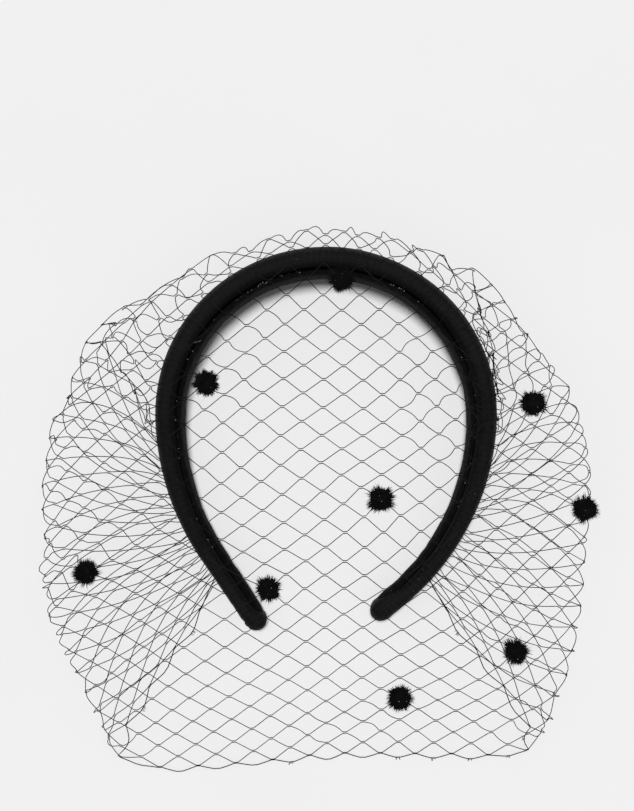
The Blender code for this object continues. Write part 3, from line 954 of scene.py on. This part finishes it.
def tubesFrom(name, lines, radius, sidesStep):
    # Round thread along each line of points, as one mesh.
    curve = bpy.data.curves.new(name, "CURVE")
    curve.dimensions = "3D"
    curve.bevel_depth = radius
    curve.bevel_resolution = sidesStep
    curve.use_fill_caps = True
    for line in lines:
        spline = curve.splines.new("POLY")
        spline.points.add(len(line) - 1)
        spline.points.foreach_set("co", np.hstack([np.array(line), np.ones((len(line), 1))]).ravel())
    made = addObject(name, curve)
    bpy.ops.object.select_all(action="DESELECT")
    made.select_set(True)
    bpy.context.view_layer.objects.active = made
    bpy.ops.object.convert(target="MESH")
    bpy.ops.object.shade_smooth()
    return bpy.context.object


def clearLine(line):
    points = np.array(line)
    keepClear(points)
    return points


def threadMaterial():
    material, tree, shader = newMaterial("netThread", {"Roughness": 0.62, "Specular IOR Level": 0.12})
    noiseColour(tree, shader, 240.0, 4.0, (0.35, net["colour"]), (0.7, net["colourWorn"]))
    twist = addNode(tree, "ShaderNodeTexWave", bands_direction="DIAGONAL", Scale=900.0, Distortion=1.5)
    tree.links.new(surfacePlace(tree, "Object", (1, 1, 1)), twist.inputs["Vector"])
    addBump(tree, shader, twist.outputs["Fac"], 0.5, 0.00008)
    return material


netThread = threadMaterial()


def makeNet():
    chance = random.Random(net["seed"])
    lines = [clearLine(zigzag(row, chance)) for row in range(lastRow)]
    made = tubesFrom("veilNet", lines, net["thread"], 1)
    made.data.materials.append(netThread)
    made.visible_shadow = False
    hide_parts("veil")
    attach(made, "root")
    print("net made:", len(made.data.polygons), "faces")


makeNet()


# Ties: three turns of thread round the two that touch at each junction

tie = {
    "long": 0.56 * mm,
    "wide": 0.24 * mm,
    "thread": 0.060 * mm,
    "turns": (-0.55 * mm, 0.0, 0.55 * mm),
    "ringSteps": 8,
    "threadSides": 3,
}


def stampCopies(name, pattern, frames):
    # One mesh of the pattern's shape, once at each (place, x, y, z) frame.
    corners = np.array([corner.co[:] for corner in pattern.data.vertices])
    faces = [list(face.vertices) for face in pattern.data.polygons]
    allCorners, allFaces = [], []
    for place, x, y, z in frames:
        base = len(corners) * len(allCorners)
        allCorners.append(corners @ np.array([x, y, z]) + np.array(place))
        allFaces += [[base + n for n in face] for face in faces]
    mesh = bpy.data.meshes.new(name)
    mesh.from_pydata(np.vstack(allCorners).tolist(), [], allFaces)
    mesh.shade_smooth()
    bpy.data.objects.remove(pattern, do_unlink=True)
    return addObject(name, mesh)


def makeTies():
    bpy.ops.mesh.primitive_torus_add(
        major_segments=tie["ringSteps"], minor_segments=tie["threadSides"],
        major_radius=tie["wide"], minor_radius=tie["thread"],
    )
    ring = bpy.context.object
    bpy.ops.object.mode_set(mode="EDIT")
    bpy.ops.transform.resize(value=(1, tie["long"] / tie["wide"], 1))
    bpy.ops.object.mode_set(mode="OBJECT")
    frames = []
    for (i, j), place in junctionAt.items():
        if 0 < i < lastColumn and 0 < j < lastRow:
            along, down = frameAt[(i, j)]
            up = along.cross(down)
            for shift in tie["turns"]:
                frames.append((place + along * shift, up, down, along))
    made = stampCopies("junctionTies", ring, frames)
    made.data.materials.append(netThread)
    made.visible_shadow = False
    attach(made, "root")
    print("ties made:", len(frames))


makeTies()


# Hem: the last thread dips between the junctions, and ends of a cut row hang at most dips.

hem = {
    "thread": 0.22 * mm,
    "dip": 2.3 * mm,
    "dipVaries": (0.75, 1.15),
    "dipShape": ((0.25, 0.55), (0.42, 0.93), (0.58, 0.93), (0.75, 0.55)),   # (share along, of the dip)
    "endLength": 1.3 * mm,
    "endThread": 0.11 * mm,
    "ends": 5,
    "tufted": 0.66,              # share of the dips with thread ends
    "endSpread": 1.6 * mm,
    "endStart": 0.95,            # as a share of the dip
    "endTilt": 0.7,
    "endVaries": (0.5, 1.2),
    "endRise": 0.25 * mm,
    "endCurl": 0.2 * mm,
    "seed": 3,
}


def makeHem():
    chance = random.Random(hem["seed"])
    line = []
    ends = []
    for i in range(0, lastColumn + 1, 2):
        place = junctionAt[(i, lastRow)]
        along, down = frameAt[(i, lastRow)]
        line += [place - along * net["junctionHalf"], place + along * net["junctionHalf"]]
        if i < lastColumn:
            following = junctionAt[(i + 2, lastRow)]
            above = junctionAt[(i + 1, lastRow - 1)]
            middle = place.lerp(following, 0.5)
            away = middle - above
            away -= (following - place) * away.dot(following - place) / (following - place).length_squared
            away = away.normalized()
            dip = hem["dip"] * chance.uniform(*hem["dipVaries"])
            across = (following - place).normalized()
            for t, share in hem["dipShape"]:
                line.append(place.lerp(following, t) + away * dip * share)
            tufted = chance.random() < hem["tufted"]
            for n in range(hem["ends"] if tufted else 0):
                aside = across * hem["endSpread"] * (n / (hem["ends"] - 1) - 0.5)
                root = middle + away * dip * hem["endStart"] + aside
                way = (away + across * chance.uniform(-hem["endTilt"], hem["endTilt"])).normalized()
                reach = hem["endLength"] * chance.uniform(*hem["endVaries"])
                curl = across * chance.uniform(-hem["endCurl"], hem["endCurl"])
                curl += Vector((0, 0, hem["endRise"]))
                ends.append([root, root + way * reach * 0.5 + curl, root + way * reach])
    edge = tubesFrom("hemThread", [clearLine(line)], hem["thread"], 1)
    tufts = tubesFrom("hemEnds", [clearLine(end) for end in ends], hem["endThread"], 0)
    for piece in (edge, tufts):
        piece.data.materials.append(netThread)
        piece.visible_shadow = False
        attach(piece, "root")
    print("hem made:", len(ends), "thread ends")


makeHem()


# Chenille dots: a dense head of pile with ragged tufts, wound on at a junction

pile = {
    "head": 4.2 * mm,
    "tips": 5.9 * mm,
    "fibres": 1500,
    "fibre": 0.15 * mm,
    "lump": 0.30,
    "lumpScale": 1.9,
    "tuft": 0.55,
    "tuftScale": 2.3,
    "fineTuft": 0.14,
    "fineScale": 7,
    "dotShift": (7.3, 3.1),      # moves the noise from one dot to the next
    "rootAt": 0.8,               # as a share of the head's radius
    "splay": 0.16,
    "tipVaries": (0.84, 1.04),
    "bendAt": 0.55,
    "bend": 0.27 * mm,
    "bendWidth": 0.7,
    "seed": 23,
    "black": (0.0012, 0.0012, 0.0014, 1),
    "tipBlack": (0.0040, 0.0040, 0.0044, 1),
}


def chenilleMaterial():
    material, tree, shader = newMaterial("chenillePile", {
        "Roughness": 0.78, "Specular IOR Level": 0.08, "Sheen Weight": 0.01,
    })
    depth = noiseColour(tree, shader, 1400.0, 3.0, (0.35, pile["black"]), (0.72, pile["tipBlack"]))
    addBump(tree, shader, depth, 0.6, 0.0002)
    return material


chenillePile = chenilleMaterial()


def randomWay(chance):
    z = chance.uniform(-1, 1)
    turn = chance.uniform(0, 2 * math.pi)
    flat = math.sqrt(1 - z * z)
    return Vector((flat * math.cos(turn), flat * math.sin(turn), z))


def makeDot(number, place, chance):
    bpy.ops.mesh.primitive_ico_sphere_add(subdivisions=3, radius=pile["head"], location=(0, 0, 0))
    head = bpy.context.object
    shift = Vector((number * pile["dotShift"][0], number * pile["dotShift"][1], 0))
    body = bmesh.new()
    body.from_mesh(head.data)
    for corner in body.verts:
        corner.co *= 1 + pile["lump"] * noise.noise(corner.co.normalized() * pile["lumpScale"] + shift)
    for n in range(pile["fibres"]):
        way = randomWay(chance)
        root = way * pile["head"] * pile["rootAt"]
        clump = 1 + pile["tuft"] * noise.noise(way * pile["tuftScale"] + shift)
        clump += pile["fineTuft"] * noise.noise(way * pile["fineScale"] + shift)
        tip = (way + randomWay(chance) * pile["splay"]).normalized() * pile["tips"] * clump
        tip *= chance.uniform(*pile["tipVaries"])
        middle = root.lerp(tip, pile["bendAt"]) + randomWay(chance) * pile["bend"]
        across = way.orthogonal().normalized()
        other = way.cross(across)
        rings = []
        for centre, width in ((root, 1.0), (middle, pile["bendWidth"])):
            ring = []
            for k in range(3):
                angle = 2 * math.pi * k / 3
                ring.append(body.verts.new(
                    centre + (across * math.cos(angle) + other * math.sin(angle)) * pile["fibre"] * width
                ))
            rings.append(ring)
        point = body.verts.new(tip)
        body.faces.new(rings[0][::-1])
        for k in range(3):
            m = (k + 1) % 3
            body.faces.new((rings[0][k], rings[0][m], rings[1][m], rings[1][k]))
            body.faces.new((rings[1][k], rings[1][m], point))
    bmesh.ops.translate(body, verts=body.verts, vec=place)
    low = min(corner.co.z for corner in body.verts)
    body.to_mesh(head.data)
    body.free()
    head.name = f"chenilleDot{number}"
    head.visible_shadow = False
    head.data.shade_smooth()
    head.data.materials.append(chenillePile)
    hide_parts(f"chenille_dot_{number}")
    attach(head, "root")
    return low


def makeDots():
    chance = random.Random(pile["seed"])
    for number, junction in enumerate(dotAt, 1):
        low = makeDot(number, junctionAt[junction], chance)
        print("dot", number, "made, lowest point", round(low / mm, 2), "mm")


makeDots()


# Glue: small beads of clear glue on the band near the crease, and one to three on each dot, coloured pale
# as a painted glint

glue = {
    "bead": 0.20 * mm,
    "creaseBeads": (("left", 36.5 * mm), ("left", 30.6 * mm), ("right", 31.8 * mm)),
    "creaseCount": 5,
    "creaseSpread": 2.2 * mm,
    "strays": 34,
    "strayStart": 8 * mm,
    "strayEnd": 0.8,             # as a share of the half band
    "belowTop": (1.2 * mm, 2.0 * mm),
    "aside": 0.5 * mm,
    "sizes": (0.4, 1.0),
    "flat": 0.7,
    "dotCount": (1, 3),
    "dotSpread": 0.6,
    "dotAt": 0.93,               # as a share of the pile's tips
    "dotSizes": (0.5, 1.0),
    "seed": 41,
    # pale: a painted glint on the clear glue beads, whose own colour would be nearly unseen on the black
    # band
    "colour": (0.78, 0.80, 0.84, 1),
}


def glueWithPaintedGlintMaterial():
    material, tree, shader = newMaterial("glueWithPaintedGlint", {"Roughness": 0.12, "Coat Weight": 1.0})
    dull = tuple(part * 0.6 for part in glue["colour"][:3]) + (1,)
    noiseColour(tree, shader, 2200.0, 2.0, (0.3, dull), (0.7, glue["colour"]))
    return material


def makeGlue():
    chance = random.Random(glue["seed"])
    bpy.ops.mesh.primitive_ico_sphere_add(subdivisions=1, radius=glue["bead"], location=(0, 0, 0))
    bead = bpy.context.object
    frames = []

    def addBead(place, size):
        turn = randomWay(chance)
        across = turn.orthogonal().normalized()
        frames.append((place, across * size, turn.cross(across) * size * glue["flat"], turn * size))

    spots = []
    for side, run in glue["creaseBeads"]:
        for n in range(glue["creaseCount"]):
            spots.append((side, run + chance.gauss(0, glue["creaseSpread"])))
    for n in range(glue["strays"]):
        side = chance.choice(["left", "right"])
        spots.append((side, chance.uniform(glue["strayStart"], halfBand * glue["strayEnd"])))
    for side, run in spots:
        point, outward = coreLine(side, run)
        height = bandWidth(run) - chance.uniform(*glue["belowTop"])
        aside = outward * chance.uniform(-glue["aside"], glue["aside"])
        addBead(point + arcMiddle + aside + Vector((0, 0, height)), chance.uniform(*glue["sizes"]))
    for junction in dotAt:
        for n in range(chance.randint(*glue["dotCount"])):
            x, y = (chance.uniform(-glue["dotSpread"], glue["dotSpread"]) for axis in "xy")
            way = Vector((x, y, 1)).normalized()
            place = junctionAt[junction] + way * pile["tips"] * glue["dotAt"]
            addBead(place, chance.uniform(*glue["dotSizes"]))
    made = stampCopies("glueBeads", bead, frames)
    made.data.materials.append(glueWithPaintedGlintMaterial())
    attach(made, "root")
    print("glue beads made:", len(frames))


makeGlue()


# Lint: a short pale fibre caught across the crease on the left

lint = {
    "run": 66.0 * mm,
    "reach": 1.7 * mm,
    "lift": 0.25 * mm,
    "slant": (-0.35, -0.85, 0),
    "steps": (-1, -0.4, 0.3, 1),
    "rise": 0.4 * mm,
    "bow": 0.3 * mm,
    "tuck": 0.3 * mm,
    "thickness": 0.07 * mm,
    "pale": (0.42, 0.42, 0.42, 1),
    "dull": (0.20, 0.20, 0.20, 1),
}


def makeLint():
    point, outward = coreLine("left", lint["run"])
    middle = point + arcMiddle + Vector((0, 0, bandWidth(lint["run"]) + lint["lift"]))
    way = (outward + Vector(lint["slant"])).normalized()
    line = [
        middle + way * lint["reach"] * t + Vector((0, t * t * lint["bow"], lint["rise"] * t))
        for t in lint["steps"]
    ]
    line[0] -= Vector((0, 0, lint["tuck"]))
    made = tubesFrom("lintFibre", [line], lint["thickness"], 1)
    material, tree, shader = newMaterial("paleLint", {"Roughness": 0.9})
    noiseColour(tree, shader, 1800.0, 2.0, (0.3, lint["dull"]), (0.7, lint["pale"]))
    made.data.materials.append(material)
    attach(made, "root")
    print("lint made")


makeLint()
